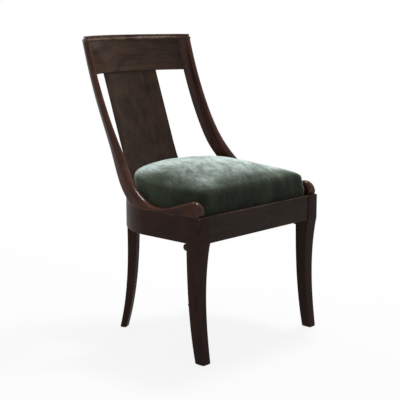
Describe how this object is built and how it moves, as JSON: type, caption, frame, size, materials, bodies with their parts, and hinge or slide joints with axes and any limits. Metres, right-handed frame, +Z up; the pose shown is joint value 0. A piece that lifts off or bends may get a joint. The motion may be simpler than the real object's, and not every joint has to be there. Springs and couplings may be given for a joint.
{
  "type": "gondola chair",
  "caption": "Gondola dining chair: barrel back with curved crest and splat, swept stiles running down into low arms, sabre legs and a lift-out velvet seat.",
  "frame": {"origin": "middle of the chair's footprint box, on the floor", "axes": "+Z up, the chair faces -Y, X = 0 is its plane of mirror symmetry"},
  "size_m": [0.49, 0.5638, 0.82],
  "materials": {
    "mahogany": "dark stained, satin polish",
    "beech": "plain, unpolished",
    "velvet": "green cut velvet",
    "horsehair": "teased hair under cotton felt",
    "hessian": "plain weave",
    "webbing": "woven jute",
    "black_cambric": "plain weave",
    "steel": "countersunk wood screws"
  },
  "bodies": {
    "chair_frame": {"cap_centre_dowel": "beech", "cap_left_dowel": "beech", "cap_right_dowel": "beech", "crest_cap": "mahogany", "crest_rail": "mahogany", "front_rail": "mahogany", "left_front_block": "beech", "left_front_block_screw_a": "steel", "left_front_block_screw_b": "steel", "left_front_dowel": "beech", "left_front_leg": "mahogany", "left_rear_block": "beech", "left_rear_block_screw_a": "steel", "left_rear_block_screw_b": "steel", "left_rear_dowel": "beech", "left_rear_leg": "mahogany", "left_side_rail": "mahogany", "left_stile": "mahogany", "rear_rail": "mahogany", "right_front_block": "beech", "right_front_block_screw_a": "steel", "right_front_block_screw_b": "steel", "right_front_dowel": "beech", "right_front_leg": "mahogany", "right_rear_block": "beech", "right_rear_block_screw_a": "steel", "right_rear_block_screw_b": "steel", "right_rear_dowel": "beech", "right_rear_leg": "mahogany", "right_side_rail": "mahogany", "right_stile": "mahogany", "shoe": "mahogany", "splat": "mahogany"},
    "seat": {"base_cloth": "hessian", "dust_cloth": "black_cambric", "front_seat_bar": "beech", "left_seat_bar": "beech", "rear_seat_bar": "beech", "right_seat_bar": "beech", "seat_pad": "horsehair", "strap_across_1": "webbing", "strap_across_2": "webbing", "strap_across_3": "webbing", "strap_along_1": "webbing", "strap_along_2": "webbing", "strap_along_3": "webbing", "velvet_cover": "velvet"}
  },
  "joints": [
    {"name": "seat_lift", "type": "slide", "parent": "chair_frame", "child": "seat", "axis": [0, 0, 1], "range_m": [0, 0.1]}
  ]
}
